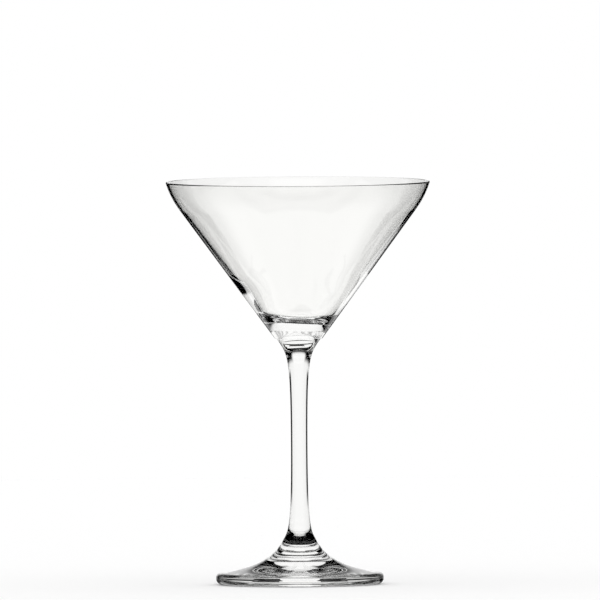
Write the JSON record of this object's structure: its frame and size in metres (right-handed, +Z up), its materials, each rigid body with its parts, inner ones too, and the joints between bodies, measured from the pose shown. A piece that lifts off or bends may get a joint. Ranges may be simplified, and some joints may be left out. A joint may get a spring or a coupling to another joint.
{
  "type": "martini glass",
  "caption": "Clear martini glass: a thin conical bowl with an upturned rim on a slender waisted stem and a round foot, for serving a cocktail.",
  "frame": {"origin": "centre of the ring under the foot, on the table", "axes": "+Z up along the stem, from the foot to the rim; X and Y are alike, because every piece is round"},
  "size_m": [0.1114, 0.1114, 0.17],
  "materials": {
    "foot_glass": "clear, fire polished",
    "stem_glass": "clear, fire polished",
    "bowl_glass": "clear, fire polished"
  },
  "bodies": {
    "root": {"foot": "foot_glass", "stem": "stem_glass", "bowl": "bowl_glass"}
  },
  "joints": []
}
